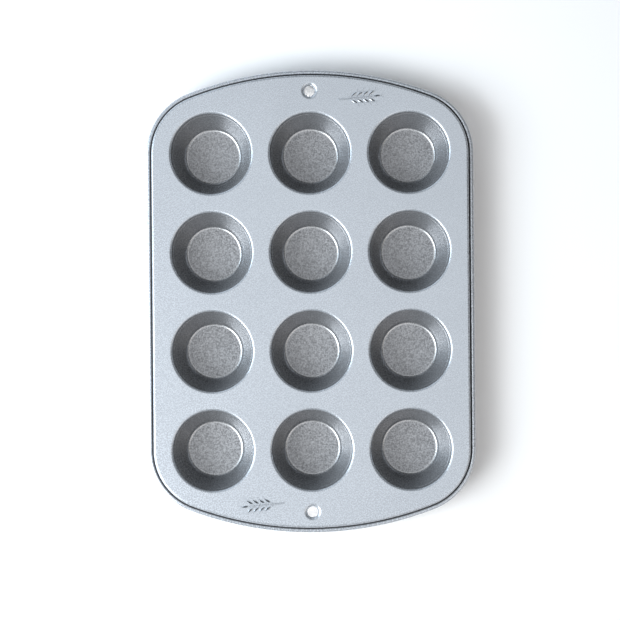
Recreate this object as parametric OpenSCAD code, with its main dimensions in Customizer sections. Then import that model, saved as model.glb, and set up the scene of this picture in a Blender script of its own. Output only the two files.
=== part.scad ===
// Twelve-cup mini muffin tin: a pressed top sheet whose rim is rolled over a wire,
// with separately drawn cups locked to the sheet's collars from below.
// Millimetres, +Z up. The origin is the middle of the outline at the underside of the cup
// floors, X runs across the pan and Y along it.

/* [Sheet] */
// Thickness of the coated steel sheet
sheet_t = 0.5; // [0.4:0.05:0.7]

/* [Cups] */
// Cups across the pan
cup_cols = 3; // [2:1:4]
// Cups along the pan
cup_rows = 4; // [2:1:5]
// Distance between cup centres, the same both ways
cup_pitch = 57; // [53:0.5:75]
// Mouth diameter, where the wall's slope meets the top of the sheet
mouth_d = 46.8; // [38:0.2:50]
// Floor diameter, where the wall's slope meets the floor
floor_d = 32.8; // [26:0.2:40]
// Inside depth, from the top of the sheet to the floor
cup_depth = 20; // [15:0.5:30]
// Radius of the rounded edge from the sheet into a cup
mouth_bend_r = 1.6; // [1:0.1:2]
// Inside radius between a cup's wall and its floor
floor_fillet_r = 2; // [1:0.1:4]

/* [Seam between sheet and cup] */
// Depth of the seam line below the top of the sheet
seam_depth = 3.2; // [2.8:0.1:5]
// Length of the sheet's turned-out flange that a cup grips
seam_grip = 1.4; // [1:0.1:1.6]
// Gap between the folded layers
seam_gap = 0.02; // [0.01:0.01:0.05]

/* [Outline] */
// From the mouth of an outer cup to the outside of the rim, at the sides
side_margin = 13.9; // [11:0.1:24]
// From the mouth of an outer cup to the outside of the rim, at the middle of an end
end_margin = 24.4; // [20:0.1:40]
// Radius of the bowed ends, at the outside of the rim
end_r = 197; // [165:1:300]
// Radius of the corners, at the outside of the rim
corner_r = 37.5; // [30:0.5:45]

/* [Rim] */
// Diameter of the wire inside the rolled rim
wire_d = 1.4; // [1.2:0.1:3]
// Gap between the wire and the rolled sheet
wire_gap = 0.05; // [0.03:0.01:0.1]
// Radius of the edge from the deck down into the skirt
rim_bend_r = 1.2; // [1.1:0.1:2.8]
// Angle of the skirt to the upright
rim_lean = 6; // [5:1:20]
// Length of the skirt's straight part
skirt_l = 1.6; // [0.4:0.1:3]
// Radius of the groove between the skirt and the roll
groove_r = 0.3; // [0.3:0.05:0.8]
// Angle from the top of the roll back to where it meets the groove
roll_start = 58; // [30:1:60]
// Gap between the tucked end of the roll and the underside of the groove
roll_end_gap = 0.4; // [0.3:0.05:0.6]
// Width of the flat border between the rim's edge and the deck inside it
rim_border = 1.6; // [1.4:0.1:2]

/* [Hanging holes] */
// Diameter of each hole
hole_d = 6.2; // [4:0.1:8]
// Radius of the rounded edge into a hole
hole_bend_r = 2; // [1:0.1:2.4]
// Length of the straight collar inside a hole
hole_neck = 1; // [0.6:0.1:3]
// Flat deck left between the rim's border and a hole's rounded edge
hole_margin = 1.1; // [0.3:0.05:4]

/* [Pressed mark] */
// Pairs of grains on the wheat ear
grain_pairs = 4; // [2:1:5]
// Length of one grain
grain_l = 4.6; // [3:0.1:5]
// Width of one grain
grain_w = 1.5; // [1.2:0.1:1.8]
// From the middle of the stem to the root of a grain, along the grain
grain_root = 1.5; // [1.2:0.1:2]
// Distance from one pair of grains to the next
grain_step = 3.4; // [3:0.1:4.5]
// Angle between a grain and the stem
grain_lean = 34; // [20:1:45]
// Length of the bare stem
stem_l = 6.5; // [2:0.5:9]
// Width of the stem
stem_w = 0.9; // [0.8:0.1:1.4]
// Gap between the stem and the grain at its tip
tip_gap = 0.4; // [0.3:0.1:1]
// Height that the mark is pressed up
mark_rise = 0.3; // [0.2:0.05:0.35]
// Width of the step round the mark's hollow underside
mark_wall = 0.25; // [0.2:0.05:0.3]
// From the pan's centre line to the middle of the mark
mark_offset = 28.7; // [26:0.1:34]
// From the rim's border to the middle of the mark
mark_margin = 10.5; // [9:0.1:11]
// Angle of the mark to the pan's width
mark_angle = 5; // [0:0.5:8]

/* [Hidden] */
ROW_NAMES = "abcde";
CUP_NAMES = [for (row = [0:cup_rows - 1], col = [0:cup_cols - 1]) str("cup_", ROW_NAMES[row], col + 1)];

SHEET_COLOUR = [0.66, 0.70, 0.74];
CUP_COLOUR = [0.52, 0.54, 0.57];
WIRE_COLOUR = [0.60, 0.60, 0.58];

arc_step = 15;     // angle of one facet where a section bends
plan_step = 3;     // angle of one facet of the deck's edge, inside the border
round_fn = 96;     // sides of a full turn
small_fn = 48;     // sides of a small full turn
fine = 1000;       // the outline's joints lie on thousandths

// Heights
deck_z = cup_depth + sheet_t;
deck_under_z = deck_z - sheet_t;
seam_z = deck_z - seam_depth;

// Cup wall: radii and slope
mouth_r = mouth_d / 2;
floor_r = floor_d / 2;
wall_lean = atan((mouth_r - floor_r) / cup_depth);
mouth_flat_r = mouth_r + mouth_bend_r * (1 - sin(wall_lean)) / cos(wall_lean);

// Outline: a straight side, a corner arc and a bowed end's arc meet with no kink
side_x = (cup_cols - 1) / 2 * cup_pitch + mouth_r + side_margin;
end_top_y = (cup_rows - 1) / 2 * cup_pitch + mouth_r + end_margin;
centres_gap = end_r - corner_r;
corner_turn = round(acos((side_x - corner_r) / centres_gap) * fine) / fine;
corner_x = centres_gap * cos(corner_turn);
corner_y = round((end_top_y - end_r + centres_gap * sin(corner_turn)) * fine) / fine;
end_y = corner_y - centres_gap * sin(corner_turn);
half_w = corner_x + corner_r;
half_l = end_y + end_r;

// Rim section: u runs outwards and is 0 at the outside of the rim
roll_in_r = wire_d / 2 + wire_gap;
roll_out_r = roll_in_r + sheet_t;
groove_gap = groove_r + roll_out_r;
rim_drop = rim_bend_r * (1 - sin(rim_lean)) + skirt_l * cos(rim_lean)
    + groove_gap * cos(roll_start) - groove_r * sin(rim_lean) - roll_out_r;
roll = [-roll_out_r, deck_z - rim_drop - roll_out_r];
groove = roll + groove_gap * [-sin(roll_start), cos(roll_start)];
rim_bend = [
    groove[0] - (groove_r + rim_bend_r) * cos(rim_lean) - skirt_l * sin(rim_lean),
    deck_z - rim_bend_r
];
tuck_gap = groove_r + sheet_t + roll_end_gap;
tuck_turn = acos((pow(roll_out_r, 2) + pow(groove_gap, 2) - pow(tuck_gap, 2)) / (2 * roll_out_r * groove_gap));
roll_end = roll_start + tuck_turn - 270;
border_u = rim_bend[0] - rim_border;

// Hanging holes and marks
hole_r = hole_d / 2;
hole_flat_r = hole_r + hole_bend_r;
hole_y = half_l + border_u - hole_margin - hole_flat_r;
mark_y = half_l + border_u - mark_margin;
ear_l = stem_l + grain_pairs * grain_step + tip_gap + grain_l;

// Points along an arc from angle a to angle b, about step apart
function arc(centre, r, a, b, step = arc_step) =
    let (n = max(2, ceil(abs(b - a) / step)))
    [for (i = [0:n]) centre + r * [cos(a + (b - a) * i / n), sin(a + (b - a) * i / n)]];

// Radius of the inside of a cup's wall at a height
function wall_r(z) = mouth_r - (deck_z - z) * tan(wall_lean);

// Centre of a fold of outer radius r whose skin touches the wall's slope, at a height
function fold_centre(r, z) = [wall_r(z) + r / cos(wall_lean), z];

// Where the sheet's collar folds outwards, above the seam line, and a cup's lip, below it
fold_r = sheet_t;
collar_fold = fold_centre(fold_r, seam_z + seam_gap + fold_r);
lip_fold = fold_centre(fold_r, seam_z - fold_r);
grip_r = collar_fold[0] + seam_grip;
hem_in_r = sheet_t / 2 + seam_gap;
hem_centre = [grip_r + seam_gap, seam_z + hem_in_r];
hem_end_r = wall_r(seam_z + 2 * sheet_t) + sheet_t / cos(wall_lean) + fold_r / 2;

// Section of the rim: border, bend, skirt, groove, and the roll over and under the wire
function rim_section() = concat(
    [[border_u, deck_under_z], [border_u, deck_z]],
    arc(rim_bend, rim_bend_r, 90, rim_lean),
    arc(groove, groove_r, 180 + rim_lean, 270 + roll_start),
    arc(roll, roll_out_r, 90 + roll_start, roll_end),
    arc(roll, roll_in_r, roll_end, 90 + roll_start),
    arc(groove, groove_r + sheet_t, 270 + roll_start, 180 + rim_lean),
    arc(rim_bend, rim_bend_r - sheet_t, rim_lean, 90)
);

// Section of the collar round a cup's mouth: down from the deck, then out into a flange
function collar_section() =
    let (bend = [mouth_flat_r, deck_z - mouth_bend_r])
    concat(
        arc(bend, mouth_bend_r, 90, 180 - wall_lean),
        arc(collar_fold, fold_r, 180 - wall_lean, 270),
        [[grip_r, seam_z + seam_gap], [grip_r, seam_z + seam_gap + sheet_t], collar_fold],
        arc(bend, mouth_bend_r - sheet_t, 180 - wall_lean, 90)
    );

// Section of a cup: floor, wall, and a lip that turns out and hems over the collar's flange
function cup_section() =
    let (
        fillet_z = sheet_t + floor_fillet_r,
        fillet = [wall_r(fillet_z) - floor_fillet_r / cos(wall_lean), fillet_z],
        hem_out_r = hem_in_r + sheet_t
    )
    concat(
        [[0, 0]],
        arc(fillet, floor_fillet_r + sheet_t, 270, 360 - wall_lean),
        [lip_fold],
        arc(hem_centre, hem_out_r, -90, 90),
        [[hem_end_r, hem_centre[1] + hem_out_r], [hem_end_r, hem_centre[1] + hem_in_r]],
        arc(hem_centre, hem_in_r, 90, -90),
        arc(lip_fold, fold_r, 90, 180 - wall_lean),
        arc(fillet, floor_fillet_r, 360 - wall_lean, 270),
        [[0, sheet_t]]
    );

// Section of the drawn-down edge of a hanging hole
function hole_section() =
    let (bend = [hole_flat_r, deck_z - hole_bend_r], neck_z = deck_z - hole_bend_r - hole_neck)
    concat(
        arc(bend, hole_bend_r, 90, 180),
        [[hole_r, neck_z], [hole_r + sheet_t, neck_z]],
        arc(bend, hole_bend_r - sheet_t, 180, 90)
    );

// Puts its children at every cup centre, row a at the back and column 1 on the left
module at_cups() {
    for (row = [0:cup_rows - 1], col = [0:cup_cols - 1]) at_cup(row, col) children();
}

module at_cup(row, col) {
    translate([
        (col - (cup_cols - 1) / 2) * cup_pitch,
        ((cup_rows - 1) / 2 - row) * cup_pitch
    ]) children();
}

// Puts its children at the back end, and again turned half round at the front end
module at_both_ends() {
    for (turn = [0, 180]) rotate(turn) children();
}

// Moves its children in a coarse step and a fine one, so that rounding opens no joint
module place(v) {
    coarse = [for (c = v) round(c)];
    translate(coarse) translate(v - coarse) children();
}

// Turns a section about a corner or end centre
module swept_arc(centre, r, start, angle) {
    place(centre) rotate_extrude(angle = angle, start = start, $fn = round_fn)
        translate([r, 0]) children();
}

// Runs a section, drawn with x = 0 on the outline, once round the outline
module along_outline() {
    end_turn = 180 - 2 * corner_turn;
    at_both_ends() {
        place([half_w, corner_y]) rotate([90, 0, 0])
            linear_extrude(height = 2 * corner_y) children();
        swept_arc([corner_x, corner_y], corner_r, 0, corner_turn) children();
        swept_arc([0, end_y], end_r, corner_turn, end_turn) children();
        swept_arc([-corner_x, corner_y], corner_r, 180 - corner_turn, corner_turn) children();
    }
}

// Points round one end of the outline, at a distance u from the outside of the rim
function end_points(u) = concat(
    arc([corner_x, corner_y], corner_r + u, 0, corner_turn, plan_step),
    arc([0, end_y], end_r + u, corner_turn, 180 - corner_turn, plan_step),
    arc([-corner_x, corner_y], corner_r + u, 180 - corner_turn, 180, plan_step)
);

// The deck inside the rim's border; its edge lies along the middle of the border
module deck_plan() {
    back = end_points(rim_bend[0] - rim_border / 2);
    polygon(concat(back, -back));
}

// A pointed grain along +X from the origin, smaller by inset all round
module grain(inset) {
    reach = grain_l / 2 - inset;
    bulge = grain_w / 2 - inset;
    r = (pow(reach, 2) + pow(bulge, 2)) / (2 * bulge);
    translate([grain_l / 2, 0]) intersection() {
        translate([0, bulge - r]) circle(r, $fn = round_fn);
        translate([0, r - bulge]) circle(r, $fn = round_fn);
    }
}

// A wheat ear along +X, centred on its length
module wheat_ear(inset) {
    tip_x = stem_l + grain_pairs * grain_step;
    translate([-ear_l / 2, 0]) {
        translate([inset, inset - stem_w / 2]) square([tip_x, stem_w - 2 * inset]);
        for (pair = [0:grain_pairs - 1], side = [-1, 1])
            translate([stem_l + pair * grain_step, 0]) rotate(side * grain_lean)
                translate([grain_root, 0]) grain(inset);
        translate([tip_x + tip_gap, 0]) grain(inset);
    }
}

module at_marks() {
    at_both_ends() translate([mark_offset, mark_y]) rotate(mark_angle) children();
}

// The pressed sheet: deck, collars, hanging holes, pressed marks and the rolled rim
module top_sheet() color(SHEET_COLOUR) {
    difference() {
        union() {
            translate([0, 0, deck_under_z]) linear_extrude(height = sheet_t) difference() {
                deck_plan();
                at_cups() circle(mouth_flat_r, $fn = round_fn);
                at_both_ends() translate([0, hole_y]) circle(hole_flat_r, $fn = small_fn);
            }
            translate([0, 0, deck_under_z]) linear_extrude(height = sheet_t + mark_rise)
                at_marks() wheat_ear(0);
        }
        translate([0, 0, deck_under_z - mark_rise]) linear_extrude(height = 2 * mark_rise)
            at_marks() wheat_ear(mark_wall);
    }
    along_outline() polygon(rim_section());
    at_cups() rotate_extrude($fn = round_fn) polygon(collar_section());
    at_both_ends() translate([0, hole_y]) rotate_extrude($fn = small_fn) polygon(hole_section());
}

// The wire that the rim is rolled round
module rim_wire() color(WIRE_COLOUR)
    along_outline() polygon(arc(roll, wire_d / 2, 0, 360 - arc_step));

// One drawn cup
module cup() color(CUP_COLOUR) rotate_extrude($fn = round_fn) polygon(cup_section());

top_sheet();
rim_wire();
for (row = [0:cup_rows - 1], col = [0:cup_cols - 1]) {
    at_cup(row, col) cup();
}
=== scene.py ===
"""Mini muffin tin: the pressed and coated sheet, and the twelve drawn cups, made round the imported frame.

Sections are drawn point by point in the upright XZ plane and swept along the rim or spun round a mouth.
Lengths are in millimetres until they reach an operator, which takes metres.
"""

import math

import bmesh
import bpy
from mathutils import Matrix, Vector


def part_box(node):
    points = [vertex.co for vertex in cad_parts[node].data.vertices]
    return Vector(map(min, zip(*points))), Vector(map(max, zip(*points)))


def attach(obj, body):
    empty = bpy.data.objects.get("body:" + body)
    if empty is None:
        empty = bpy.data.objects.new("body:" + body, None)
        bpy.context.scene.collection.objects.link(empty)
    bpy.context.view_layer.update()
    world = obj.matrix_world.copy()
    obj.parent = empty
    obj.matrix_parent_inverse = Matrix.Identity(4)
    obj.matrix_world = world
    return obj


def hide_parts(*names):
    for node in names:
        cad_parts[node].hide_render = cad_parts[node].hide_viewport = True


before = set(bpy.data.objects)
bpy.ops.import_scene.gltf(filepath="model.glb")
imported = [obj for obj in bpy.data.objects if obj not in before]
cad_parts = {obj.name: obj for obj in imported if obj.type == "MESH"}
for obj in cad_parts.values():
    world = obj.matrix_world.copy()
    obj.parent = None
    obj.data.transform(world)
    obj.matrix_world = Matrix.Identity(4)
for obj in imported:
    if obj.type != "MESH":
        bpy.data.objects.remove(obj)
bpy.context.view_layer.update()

MM = 0.001

# The pan's frame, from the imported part
sheet_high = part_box("top_sheet")[1] / MM
CUPS = sorted(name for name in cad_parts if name.startswith("cup_"))

# Sheet and cup
SHEET_T = 0.5
MARK_RISE = 0.3
DECK_Z = sheet_high.z - MARK_RISE
UNDER_Z = DECK_Z - SHEET_T
MOUTH_R = 23.4
FLOOR_R = 16.4
CUP_DEPTH = DECK_Z - SHEET_T
MOUTH_BEND = 1.6
FLOOR_FILLET = 2.0
SEAM_Z = DECK_Z - 3.2
SEAM_GRIP = 1.4
SEAM_GAP = 0.02
FOLD_R = SHEET_T

# Outline, at the outside of the rim
HALF_W = sheet_high.x
HALF_L = sheet_high.y
CORNER_R = 37.5
END_R = 197.0

# Rim: a bend down from the deck, a leaning skirt, a groove, and a roll over and under the wire
RIM_BEND = 1.2
RIM_LEAN = 6.0
GROOVE_R = 0.3
ROLL_IN_R = 0.75
ROLL_OUT_R = ROLL_IN_R + SHEET_T
ROLL_START = 58.0
ROLL_GAP = 0.4
SKIRT_L = 1.6
RIM_BORDER = 1.6

# Hanging holes and marks
HOLE_R = 3.1
HOLE_BEND = 2.0
HOLE_NECK = 1.0
HOLE_MARGIN = 1.1
GRAIN_L, GRAIN_W, GRAIN_ROOT = 4.6, 1.5, 1.5
GRAIN_STEP, GRAIN_LEAN, GRAIN_PAIRS = 3.4, 34.0, 4
STEM_L, STEM_W, TIP_GAP = 6.5, 0.9, 0.4
MARK_X, MARK_INSET, MARK_TURN = 28.7, 10.5, 5.0

# How close two points must be to be one, and how far a guard line stands from a bend
TOUCH = 0.002
GUARD = 0.35

# Steps of a full turn of the sections that are spun
MOUTH_STEPS = 96
HOLE_STEPS = 56

# Finishes: the sheet's and the cup's material slots, in order
DECK, INSIDE_MOUTH, GROOVE_SHADE = 0, 1, 2
WALL, HIGHLIGHT_RING, FLOOR = 0, 1, 2
FLOOR_RIM = 0.3          # a floor's finish stops this far inside its rounded edge
HIGHLIGHT_RING_RISE = 0.35   # the painted highlight ring's finish goes this far up, and this far out
HIGHLIGHT_RING_REACH = 1.0


def polar(centre, r, degrees):
    """The point at a radius and an angle from a centre."""
    a = math.radians(degrees)
    return centre[0] + r * math.cos(a), centre[1] + r * math.sin(a)


# Wall of a cup
WALL_LEAN = math.degrees(math.atan((MOUTH_R - FLOOR_R) / CUP_DEPTH))
WALL_COS = math.cos(math.radians(WALL_LEAN))
WALL_SIN = math.sin(math.radians(WALL_LEAN))
MOUTH_FLAT_R = MOUTH_R + MOUTH_BEND * (1 - WALL_SIN) / WALL_COS


def wall_r(z):
    """Radius of the inside of a cup's wall at a height."""
    return MOUTH_R - (DECK_Z - z) * WALL_SIN / WALL_COS


FLOOR_FLAT_R = wall_r(SHEET_T + FLOOR_FILLET) - FLOOR_FILLET / WALL_COS


# Rim section: u runs outwards and is 0 at the outside of the rim
lean, start = math.radians(RIM_LEAN), math.radians(ROLL_START)
GROOVE_GAP = GROOVE_R + ROLL_OUT_R
RIM_DROP = (RIM_BEND * (1 - math.sin(lean)) + SKIRT_L * math.cos(lean)
            + GROOVE_GAP * math.cos(start) - GROOVE_R * math.sin(lean) - ROLL_OUT_R)
TUCK_GAP = GROOVE_R + SHEET_T + ROLL_GAP
TUCK = math.degrees(math.acos(
    (ROLL_OUT_R ** 2 + GROOVE_GAP ** 2 - TUCK_GAP ** 2) / (2 * ROLL_OUT_R * GROOVE_GAP)))
ROLL_END = ROLL_START + TUCK - 270
ROLL = (-ROLL_OUT_R, DECK_Z - RIM_DROP - ROLL_OUT_R)
GROOVE = (ROLL[0] - GROOVE_GAP * math.sin(start), ROLL[1] + GROOVE_GAP * math.cos(start))
BEND = (GROOVE[0] - (GROOVE_R + RIM_BEND) * math.cos(lean) - SKIRT_L * math.sin(lean), DECK_Z - RIM_BEND)
BORDER_U = BEND[0] - RIM_BORDER
HOLE_FLAT_R = HOLE_R + HOLE_BEND
HOLE_Y = HALF_L + BORDER_U - HOLE_MARGIN - HOLE_FLAT_R
MARK_Y = HALF_L + BORDER_U - MARK_INSET

# Outline: a straight side, a corner and a bowed end meet with no kink
CORNER_TURN = math.degrees(math.acos((HALF_W - CORNER_R) / (END_R - CORNER_R)))
CORNER_X = HALF_W - CORNER_R
END_Y = HALF_L - END_R
CORNER_Y = END_Y + (END_R - CORNER_R) * math.sin(math.radians(CORNER_TURN))


# ---- Workshop -----------------------------------------------------------------------------------

def deselect():
    bpy.ops.object.select_all(action="DESELECT")


def pick(*pieces):
    """Selects these pieces, the first of them active."""
    deselect()
    for piece in pieces:
        piece.select_set(True)
    bpy.context.view_layer.objects.active = pieces[0]


def edit(piece):
    pick(piece)
    bpy.ops.object.mode_set(mode="EDIT")
    bpy.context.tool_settings.mesh_select_mode = (True, False, False)


def leave():
    bpy.ops.object.mode_set(mode="OBJECT")


def metres(*lengths):
    return tuple(length * MM for length in lengths)


class Line:
    """A line drawn from one point, in the plane across an axis, as a piece of its own."""

    def __init__(self, name, at, upright=True):
        deselect()
        self.upright, self.at = upright, at
        bpy.ops.mesh.primitive_plane_add(size=MM, location=self.point(at))
        self.piece = bpy.context.object
        self.piece.name = self.piece.data.name = name
        bpy.ops.object.transform_apply(location=True)
        edit(self.piece)
        bpy.ops.mesh.select_all(action="SELECT")
        bpy.ops.mesh.merge(type="CENTER")

    def point(self, at):
        return metres(at[0], 0, at[1]) if self.upright else metres(at[0], at[1], 0)

    def to(self, *points):
        """Draws on straight to each point."""
        for at in points:
            step = Vector(self.point(at)) - Vector(self.point(self.at))
            if step.length > TOUCH * MM:
                bpy.ops.mesh.extrude_vertices_move(TRANSFORM_OT_translate={"value": step})
                self.at = at
        return self

    def bend(self, centre, r, first, last, steps):
        """Draws on round a centre, from one angle to another."""
        self.to(polar(centre, r, first))
        turn = math.radians(last - first)
        bpy.ops.mesh.spin(
            steps=steps, angle=turn if self.upright else -turn,
            center=self.point(centre), axis=(0, 1, 0) if self.upright else (0, 0, 1))
        self.at = polar(centre, r, last)
        return self

    def done(self, closed=False):
        if closed:
            merge_doubles()
        bpy.ops.mesh.select_all(action="SELECT")
        return self.piece


def merge_doubles():
    bpy.ops.mesh.select_all(action="SELECT")
    bpy.ops.mesh.remove_doubles(threshold=TOUCH * MM)


def spin_round(steps):
    """Spins the selected section once round the upright axis through the origin."""
    bpy.ops.mesh.spin(steps=steps, angle=2 * math.pi, center=(0, 0, 0), axis=(0, 0, 1))
    merge_doubles()
    bpy.ops.mesh.normals_make_consistent(inside=False)
    leave()


def sweep_rim(corner_steps, end_steps):
    """Runs the selected section, which stands at the middle of the right side, once round the outline."""
    end_turn = 180 - 2 * CORNER_TURN

    def straight(y):
        bpy.ops.mesh.extrude_edges_move(TRANSFORM_OT_translate={"value": metres(0, y, 0)})

    def curve(x, y, turn, steps):
        bpy.ops.mesh.spin(
            steps=steps, angle=-math.radians(turn), center=metres(x, y, 0), axis=(0, 0, 1))

    for side in (1, -1):
        straight(side * CORNER_Y)
        curve(side * CORNER_X, side * CORNER_Y, CORNER_TURN, corner_steps)
        curve(0, side * END_Y, end_turn, end_steps)
        curve(-side * CORNER_X, side * CORNER_Y, CORNER_TURN, corner_steps)
        straight(-side * CORNER_Y)
    merge_doubles()
    bpy.ops.mesh.normals_make_consistent(inside=False)
    leave()


def copy_of(piece, name, x=0, y=0, z=0, turn=0):
    """A copy with its own mesh, turned about the upright axis and then moved."""
    pick(piece)
    bpy.ops.object.duplicate(linked=False)
    made = bpy.context.object
    made.name = made.data.name = name
    edit(made)
    bpy.ops.mesh.select_all(action="SELECT")
    if turn:
        bpy.ops.transform.rotate(
            value=math.radians(-turn), orient_axis="Z", center_override=(0, 0, 0))
    bpy.ops.transform.translate(value=metres(x, y, z))
    leave()
    return made


def scrap(*pieces):
    for piece in pieces:
        bpy.data.objects.remove(piece)


def join(name, pieces):
    pick(*pieces)
    bpy.ops.object.join()
    whole = bpy.context.object
    whole.name = whole.data.name = name
    return whole


def fill_between_open_edges(z):
    """Closes a flat skin at one height, between all the rings left open there."""
    bpy.ops.mesh.select_all(action="DESELECT")
    shape = bmesh.from_edit_mesh(bpy.context.object.data)
    for ring_edge in shape.edges:
        level = all(abs(v.co.z - z * MM) < TOUCH * MM for v in ring_edge.verts)
        ring_edge.select_set(ring_edge.is_boundary and level)
    bmesh.update_edit_mesh(bpy.context.object.data)
    bpy.ops.mesh.fill(use_beauty=True)


def smooth(piece, angle=38):
    pick(piece)
    bpy.ops.object.shade_smooth_by_angle(angle=math.radians(angle))


# ---- Sections -----------------------------------------------------------------------------------

def rim_ring():
    """Border, bend, skirt, groove, and the roll over and under the wire, once round the pan."""
    def out(u, z):
        return HALF_W + u, z

    bend, groove, roll = out(*BEND), out(*GROOVE), out(*ROLL)
    line = Line("rim", out(BORDER_U, DECK_Z))
    line.to(out(BEND[0] - GUARD, DECK_Z))
    line.bend(bend, RIM_BEND, 90, RIM_LEAN, 12)
    line.bend(groove, GROOVE_R, 180 + RIM_LEAN, 270 + ROLL_START, 8)
    line.bend(roll, ROLL_OUT_R, 90 + ROLL_START, ROLL_END, 36)
    line.bend(roll, ROLL_IN_R, ROLL_END, 90 + ROLL_START, 20)
    line.bend(groove, GROOVE_R + SHEET_T, 270 + ROLL_START, 180 + RIM_LEAN, 6)
    line.bend(bend, RIM_BEND - SHEET_T, RIM_LEAN, 90, 8)
    line.to(out(BEND[0] - GUARD, UNDER_Z), out(BORDER_U, UNDER_Z))
    ring = line.done()
    sweep_rim(corner_steps=44, end_steps=28)
    return ring


def wall_line(z, outside=False):
    """A point on the cup wall's slope, on its inside or its outside."""
    return wall_r(z) + (SHEET_T / WALL_COS if outside else 0), z


def fold_centre(r, z):
    return wall_r(z) + r / WALL_COS, z


COLLAR_FOLD = fold_centre(FOLD_R, SEAM_Z + SEAM_GAP + FOLD_R)
LIP_FOLD = fold_centre(FOLD_R, SEAM_Z - FOLD_R)
GRIP_R = COLLAR_FOLD[0] + SEAM_GRIP
HEM_IN_R = SHEET_T / 2 + SEAM_GAP
HEM = (GRIP_R + SEAM_GAP, SEAM_Z + HEM_IN_R)
HEM_END_R = wall_r(SEAM_Z + 2 * SHEET_T) + SHEET_T / WALL_COS + FOLD_R / 2


def collar():
    """The sheet's edge round a cup's mouth: down from the deck, then out into a flange."""
    bend = (MOUTH_FLAT_R, DECK_Z - MOUTH_BEND)
    slope = 180 - WALL_LEAN
    flange_z = SEAM_Z + SEAM_GAP
    line = Line("collar", (MOUTH_FLAT_R + 2 * GUARD, DECK_Z))
    line.bend(bend, MOUTH_BEND, 90, slope, 10)
    line.bend(COLLAR_FOLD, FOLD_R, slope, 270, 7)
    line.to((GRIP_R, flange_z), (GRIP_R, flange_z + SHEET_T), COLLAR_FOLD)
    line.bend(bend, MOUTH_BEND - SHEET_T, slope, 90, 6)
    line.to((MOUTH_FLAT_R + 2 * GUARD, UNDER_Z))
    ring = line.done()
    spin_round(MOUTH_STEPS)
    return ring


def hole_edge():
    """The drawn-down edge of a hanging hole."""
    bend = (HOLE_FLAT_R, DECK_Z - HOLE_BEND)
    neck_z = DECK_Z - HOLE_BEND - HOLE_NECK
    line = Line("hole_edge", (HOLE_FLAT_R + GUARD, DECK_Z))
    line.bend(bend, HOLE_BEND, 90, 180, 12)
    line.to((HOLE_R, bend[1] - GUARD), (HOLE_R, neck_z), (HOLE_R + SHEET_T, neck_z))
    line.to((HOLE_R + SHEET_T, bend[1] - GUARD))
    line.bend(bend, HOLE_BEND - SHEET_T, 180, 90, 8)
    line.to((HOLE_FLAT_R + GUARD, UNDER_Z))
    ring = line.done()
    spin_round(HOLE_STEPS)
    return ring


def press_up(bands):
    """Fills the selected ring and presses it up, band by band, into a domed island with an open edge."""
    bpy.ops.mesh.edge_face_add()
    face = bmesh.from_edit_mesh(bpy.context.object.data).faces
    face.ensure_lookup_table()
    if face[0].normal.z < 0:
        bpy.ops.mesh.flip_normals()
    for width, rise in bands:
        bpy.ops.mesh.inset(thickness=width * MM, depth=rise * MM, use_even_offset=True)
    leave()


def grain():
    """One pointed grain of the mark along +X from its root, pressed up."""
    edge = GUARD / 5
    reach, bulge = GRAIN_L / 2 + edge, GRAIN_W / 2 + edge
    r = (reach ** 2 + bulge ** 2) / (2 * bulge)
    half = math.degrees(math.asin(reach / r))
    middle = GRAIN_ROOT + GRAIN_L / 2
    below, above = (middle, r - bulge), (middle, bulge - r)
    line = Line("grain", (middle - reach, 0), upright=False)
    line.bend(below, r, 270 - half, 270 + half, 10)
    line.bend(above, r, 90 - half, 90 + half, 10)
    line.done(closed=True)
    press_up([(edge, 0), (0.12, 0.1), (0.16, 0.12), (0.2, MARK_RISE - 0.22)])
    return line.piece


def stem():
    """The mark's stem, a bar with round ends, pressed up."""
    edge = GUARD / 5
    r = STEM_W / 2
    first, last = (r, 0), (STEM_L + GRAIN_PAIRS * GRAIN_STEP - r, 0)
    line = Line("stem", (r, -r - edge), upright=False)
    line.bend(last, r + edge, -90, 90, 8)
    line.bend(first, r + edge, 90, 270, 8)
    line.done(closed=True)
    press_up([(edge, 0), (0.1, 0.12), (0.12, 0.1), (0.1, MARK_RISE - 0.22)])
    return line.piece


def wheat_ear():
    """Stem, pairs of grains and a tip grain, centred on its length along X."""
    one = grain()
    tip_x = STEM_L + GRAIN_PAIRS * GRAIN_STEP
    length = tip_x + TIP_GAP + GRAIN_L
    parts = [stem()]
    for pair in range(GRAIN_PAIRS):
        for side in (-1, 1):
            parts.append(copy_of(one, "grain_copy", x=STEM_L + pair * GRAIN_STEP, turn=side * GRAIN_LEAN))
    parts.append(copy_of(one, "grain_tip", x=tip_x + TIP_GAP - GRAIN_ROOT))
    scrap(one)
    ear = join("wheat_ear", parts)
    edit(ear)
    bpy.ops.mesh.select_all(action="SELECT")
    bpy.ops.transform.translate(value=metres(-length / 2, 0, 0))
    leave()
    return ear


def cup_centre(name):
    low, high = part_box(name)
    return (low.x + high.x) / 2 / MM, (low.y + high.y) / 2 / MM


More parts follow.
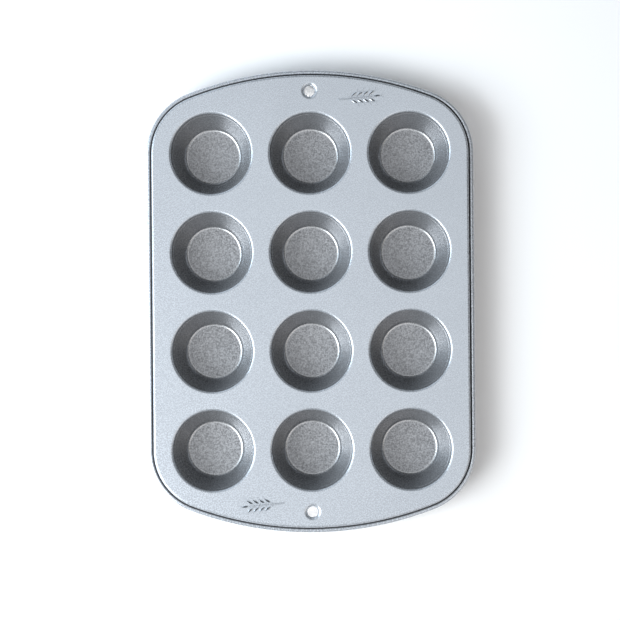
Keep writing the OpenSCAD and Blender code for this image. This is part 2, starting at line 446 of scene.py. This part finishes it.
def pressed_sheet():
    """The whole sheet: rim, collars, hole edges and marks, with the deck's two skins filled in between."""
    parts = [rim_ring()]
    ring, edge, ear = collar(), hole_edge(), wheat_ear()
    for name in CUPS:
        x, y = cup_centre(name)
        parts.append(copy_of(ring, "collar_copy", x, y))
    leaning = copy_of(ear, "ear_leaning", turn=MARK_TURN)
    for turn in (0, 180):
        side = 1 if turn == 0 else -1
        parts.append(copy_of(edge, "hole_copy", 0, side * HOLE_Y))
        for z in (DECK_Z, UNDER_Z):
            parts.append(copy_of(leaning, "ear_copy", side * MARK_X, side * MARK_Y, z, turn))
    scrap(ring, edge, ear, leaning)
    sheet = join("pressed_sheet", parts)
    edit(sheet)
    fill_between_open_edges(DECK_Z)
    fill_between_open_edges(UNDER_Z)
    merge_doubles()
    bpy.ops.mesh.normals_make_consistent(inside=False)
    leave()
    smooth(sheet)
    return sheet


def drawn_cup():
    """Floor, wall, and a lip that turns out and hems over the collar's flange."""
    fillet_z = SHEET_T + FLOOR_FILLET
    fillet = (wall_r(fillet_z) - FLOOR_FILLET / WALL_COS, fillet_z)
    foot = 360 - WALL_LEAN
    hem_out_r = HEM_IN_R + SHEET_T
    flat = fillet[0] - 2 * GUARD
    line = Line("drawn_cup", (0, 0))
    line.to((flat, 0))
    line.bend(fillet, FLOOR_FILLET + SHEET_T, 270, foot, 10)
    line.to(wall_line(fillet_z + GUARD, outside=True), wall_line(LIP_FOLD[1] - GUARD, outside=True), LIP_FOLD)
    line.bend(HEM, hem_out_r, -90, 90, 10)
    line.to((HEM_END_R, HEM[1] + hem_out_r), (HEM_END_R, HEM[1] + HEM_IN_R))
    line.bend(HEM, HEM_IN_R, 90, -90, 6)
    line.bend(LIP_FOLD, FOLD_R, 90, 180 - WALL_LEAN, 7)
    line.to(wall_line(LIP_FOLD[1] - GUARD), wall_line(fillet_z + GUARD))
    line.bend(fillet, FLOOR_FILLET, foot, 270, 10)
    line.to((flat, SHEET_T), (0, SHEET_T))
    cup = line.done()
    spin_round(MOUTH_STEPS)
    smooth(cup)
    return cup


# ---- Finishes -----------------------------------------------------------------------------------

class Finish:
    """A material whose nodes read the piece's own coordinates."""

    def __init__(self, name, metallic, specular):
        self.material = bpy.data.materials.new(name)
        self.material.use_nodes = True
        self.tree = self.material.node_tree
        self.shader = self.tree.nodes["Principled BSDF"]
        self.shader.inputs["Metallic"].default_value = metallic
        self.shader.inputs["Specular IOR Level"].default_value = specular
        self.place = self.node("ShaderNodeTexCoord").outputs["Object"]

    def node(self, kind, **values):
        made = self.tree.nodes.new(kind)
        for key, value in values.items():
            if key in made.inputs:
                made.inputs[key].default_value = value
            else:
                setattr(made, key, value)
        return made

    def link(self, source, target):
        self.tree.links.new(source, target)

    def noise(self, size, detail=2.0, roughness=0.5):
        """Noise whose grain is about so many millimetres."""
        made = self.node("ShaderNodeTexNoise", Scale=1 / (size * MM), Detail=detail, Roughness=roughness)
        self.link(self.place, made.inputs["Vector"])
        return made.outputs["Fac"]

    def spread(self, source, low, high, span=(0.3, 0.7)):
        """Stretches a value from one span to another."""
        made = self.node("ShaderNodeMapRange")
        for key, value in zip(("From Min", "From Max", "To Min", "To Max"), (*span, low, high)):
            made.inputs[key].default_value = value
        self.link(source, made.inputs["Value"])
        return made.outputs["Result"]

    def sum(self, one, other, how="ADD"):
        made = self.node("ShaderNodeMath", operation=how)
        self.link(one, made.inputs[0])
        self.link(other, made.inputs[1])
        return made.outputs["Value"]

    def colour(self, source, dark, light):
        ramp = self.node("ShaderNodeValToRGB")
        ramp.color_ramp.elements[0].color = (*dark, 1)
        ramp.color_ramp.elements[1].color = (*light, 1)
        self.link(source, ramp.inputs["Fac"])
        self.link(ramp.outputs["Color"], self.shader.inputs["Base Color"])

    def rough(self, source):
        self.link(source, self.shader.inputs["Roughness"])

    def bump(self, source, height, strength=1.0):
        made = self.node("ShaderNodeBump", Strength=strength, Distance=height * MM)
        self.link(source, made.inputs["Height"])
        self.link(made.outputs["Normal"], self.shader.inputs["Normal"])


def coated_steel(name, dark, light, metallic, rough_low, rough_high, bump, speckle):
    """Baked non-stick coat with metal flake: fine flake, clumps of it, and a broad drift of tone."""
    finish = Finish(name, metallic, 0.5)
    flake = finish.noise(0.40, detail=3.0, roughness=0.7)
    clump = finish.noise(0.8, detail=2.0)
    drift = finish.noise(38.0, detail=1.0)
    flake_tone = finish.spread(flake, -speckle, speckle)
    clump_tone = finish.spread(clump, -speckle / 2, speckle / 2)
    grain_tone = finish.sum(flake_tone, clump_tone)
    tone = finish.sum(grain_tone, finish.spread(drift, 0.44, 0.56))
    finish.colour(tone, dark, light)
    finish.rough(finish.spread(clump, rough_low, rough_high))
    finish.bump(finish.sum(flake, clump), bump)
    return finish.material


def drawn_wire(name):
    """Bright drawn steel wire, with faint rings of die marks."""
    finish = Finish(name, 1.0, 0.5)
    scale = finish.noise(0.6, detail=4.0)
    stain = finish.noise(9.0)
    finish.colour(finish.sum(finish.spread(scale, -0.2, 0.2), finish.spread(stain, 0.3, 0.7)),
                  (0.36, 0.36, 0.35), (0.62, 0.62, 0.60))
    finish.rough(finish.spread(scale, 0.3, 0.5))
    finish.bump(scale, 0.01)
    return finish.material


def pale_board(name, glow):
    """Matt white board under the pan."""
    finish = Finish(name, 0.0, 0.2)
    tooth = finish.noise(2.0)
    finish.colour(tooth, (0.93, 0.93, 0.93), (0.95, 0.95, 0.95))
    finish.shader.inputs["Emission Color"].default_value = (1, 1, 1, 1)
    finish.shader.inputs["Emission Strength"].default_value = glow
    finish.rough(finish.spread(tooth, 0.85, 0.95))
    return finish.material


def paint(piece, *materials):
    piece.data.materials.clear()
    for material in materials:
        piece.data.materials.append(material)


def rim_distance(x, y):
    """How far a point of the plan lies inside the outside of the rim."""
    x, y = abs(x), abs(y)
    turn = math.radians(CORNER_TURN)
    if y < CORNER_Y:
        return HALF_W - x
    if math.atan2(y - END_Y, x) > turn:
        return END_R - math.hypot(x, y - END_Y)
    return CORNER_R - math.hypot(x - CORNER_X, y - CORNER_Y)


def finish_of(centre, mouths):
    """Which of the sheet's finishes a face takes: the groove beside the roll takes a near-black painted
    shade.
    """
    x, y, z = centre / MM
    # Collar faces down inside a mouth take the cups' darker coat: painted shade inside the mouths.
    if z < DECK_Z - MOUTH_BEND / 2 and any(math.hypot(x - a, y - b) < MOUTH_FLAT_R for a, b in mouths):
        return INSIDE_MOUTH
    # The groove beside the roll is painted near black: painted shade in the groove.
    if abs(rim_distance(x, y) + GROOVE[0]) < 1.5 * GROOVE_R and z > ROLL[1]:
        return GROOVE_SHADE
    return DECK


def cup_finish_of(centre):
    """Which of the cup's finishes a face takes: only the inside has the floor's lighter finish and the
    painted highlight ring's.
    """
    x, y, z = centre / MM
    r = math.hypot(x, y)
    inside = z > SHEET_T - TOUCH
    # Inside floor faces take the floor's lighter coat: painted light on the floors.
    if inside and r < FLOOR_FLAT_R - FLOOR_RIM:
        return FLOOR
    # The floor's rounded edge is painted lighter: a painted highlight ring.
    if inside and z < SHEET_T + HIGHLIGHT_RING_RISE and r < FLOOR_FLAT_R + HIGHLIGHT_RING_REACH:
        return HIGHLIGHT_RING
    return WALL


# ---- The pan ------------------------------------------------------------------------------------

DECK_FINISH = coated_steel(
    "coated_sheet", (0.470, 0.497, 0.535), (0.650, 0.686, 0.730), metallic=0.5,
    rough_low=0.22, rough_high=0.32, bump=0.008, speckle=0.35)
# The cups' coat is the deck's coat painted darker: painted shade inside the cups.
SHADED_CUP_FINISH = coated_steel(
    "coated_cup", (0.225, 0.232, 0.245), (0.325, 0.334, 0.350), metallic=0.5,
    rough_low=0.22, rough_high=0.32, bump=0.008, speckle=0.50)
# A lighter copy of the cup's coat on the floor's flat edge and the foot of its fillet: a painted highlight
# ring.
HIGHLIGHT_RING_FINISH = coated_steel(
    "coated_cup_edge", (0.44, 0.45, 0.46), (0.66, 0.67, 0.68), metallic=0.6,
    rough_low=0.22, rough_high=0.32, bump=0.008, speckle=0.3)
# The floor's copy of the cup's coat has stronger speckle, and is painted lighter than the wall's: painted
# light on the floors.
CUP_FLOOR_FINISH = coated_steel(
    "coated_cup_floor", (0.130, 0.134, 0.140), (0.560, 0.570, 0.590), metallic=0.5,
    rough_low=0.22, rough_high=0.34, bump=0.010, speckle=0.60)
# Near-black coat for the groove beside the roll: painted shade in the groove, not a coating of its own.
GROOVE_SHADE_FINISH = coated_steel(
    "painted_groove_shade", (0.03, 0.03, 0.035), (0.08, 0.08, 0.085), metallic=0.2,
    rough_low=0.5, rough_high=0.7, bump=0.03, speckle=0.5)
WIRE_FINISH = drawn_wire("rim_wire_steel")

sheet = pressed_sheet()
paint(sheet, DECK_FINISH, SHADED_CUP_FINISH, GROOVE_SHADE_FINISH)
mouths = [cup_centre(name) for name in CUPS]
for face in sheet.data.polygons:
    face.material_index = finish_of(face.center, mouths)
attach(sheet, "root")
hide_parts("top_sheet")

pattern = drawn_cup()
paint(pattern, SHADED_CUP_FINISH, HIGHLIGHT_RING_FINISH, CUP_FLOOR_FINISH)
for face in pattern.data.polygons:
    face.material_index = cup_finish_of(face.center)
for name in CUPS:
    x, y = cup_centre(name)
    cup = copy_of(pattern, name + "_drawn", x, y)
    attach(cup, "root")
    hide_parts(name)
scrap(pattern)

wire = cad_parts["rim_wire"]
for slot in wire.material_slots:
    slot.material = WIRE_FINISH


# ---- Studio -------------------------------------------------------------------------------------

BOARD_SIZE = 30       # metres
BOARD_DROP = 0.05     # below the floors of the cups, so that the faces don't share a plane
BOARD_GLOW = 0.12

# The tiny lights under the deck: how far in from the hole, height, width, cone and power
HOLE_LIGHT_INSET, HOLE_LIGHT_Z, HOLE_LIGHT_SIZE = 8, 12, 5
HOLE_LIGHT_SPREAD = 50
HOLE_LIGHT_WATTS = 0.00016

# The camera: its place, its turn about the upright axis, and its lens
EYE_AT = (15.1, -18.4, 955.5)
EYE_TURN = -0.48
LENS, SENSOR = 94.4, 36
SHIFT = (-0.0444, 0.0373)


def floor():
    deselect()
    bpy.ops.mesh.primitive_plane_add(size=BOARD_SIZE, location=metres(0, 0, -BOARD_DROP))
    board = bpy.context.object
    board.name = "board"
    paint(board, pale_board("matt_white_board", BOARD_GLOW))


def soft_light(name, azimuth, elevation, distance, size, watts, colour):
    """A square soft light aimed at the pan, from an azimuth round it and an elevation above the floor."""
    a, e = math.radians(azimuth), math.radians(elevation)
    place = Vector((math.cos(a) * math.cos(e), math.sin(a) * math.cos(e), math.sin(e))) * distance
    deselect()
    bpy.ops.object.light_add(type="AREA", location=place)
    light = bpy.context.object
    light.name = name
    light.rotation_euler = place.to_track_quat("Z", "Y").to_euler()
    light.data.shape = "SQUARE"
    light.data.size = size
    light.data.energy = watts
    light.data.color = colour


def hole_light(name, end):
    """A tiny narrow light under the deck that brightens the board straight below a hanging hole."""
    place = Vector(metres(0, end * (HOLE_Y - HOLE_LIGHT_INSET), HOLE_LIGHT_Z))
    deselect()
    bpy.ops.object.light_add(type="AREA", location=place)
    light = bpy.context.object
    light.name = name
    light.rotation_euler = (place - Vector(metres(0, end * HOLE_Y, 0))).to_track_quat("Z", "Y").to_euler()
    light.data.shape = "SQUARE"
    light.data.size = HOLE_LIGHT_SIZE * MM
    light.data.spread = math.radians(HOLE_LIGHT_SPREAD)
    light.data.energy = HOLE_LIGHT_WATTS


def room_light(strength, colour):
    world = bpy.data.worlds.new("room")
    bpy.context.scene.world = world
    world.use_nodes = True
    air = world.node_tree.nodes["Background"]
    air.inputs["Color"].default_value = (*colour, 1)
    air.inputs["Strength"].default_value = strength


def camera():
    """Straight above, a little to the right of the pan and in front of its middle."""
    deselect()
    bpy.ops.object.camera_add(location=metres(*EYE_AT), rotation=(0, 0, math.radians(EYE_TURN)))
    eye = bpy.context.object
    eye.data.lens = LENS
    eye.data.sensor_width = SENSOR
    eye.data.shift_x, eye.data.shift_y = SHIFT
    bpy.context.scene.camera = eye


floor()
soft_light("window", 176, 29, 1.1, 0.62, 6.6, (0.72, 0.87, 1.0))
soft_light("key", 210, 38, 1.1, 0.62, 8.6, (0.93, 0.97, 1.0))
soft_light("high_left", 205, 54, 1.6, 0.9, 9.6, (0.93, 0.97, 1.0))
soft_light("back_fill", 120, 24, 1.6, 0.9, 3.2, (0.78, 0.88, 1.0))
soft_light("front_fill", 300, 50, 1.6, 0.9, 3.0, (1.0, 0.97, 0.99))
soft_light("right_fill", 330, 38, 1.6, 0.9, 2.8, (1.0, 0.95, 0.88))
soft_light("overhead", 0, 90, 1.7, 1.2, 4.0, (0.95, 0.97, 1.0))
hole_light("back_hole_light", 1)
hole_light("front_hole_light", -1)
room_light(0.02, (1.0, 0.97, 0.94))
camera()
bpy.context.scene.view_settings.view_transform = "Standard"
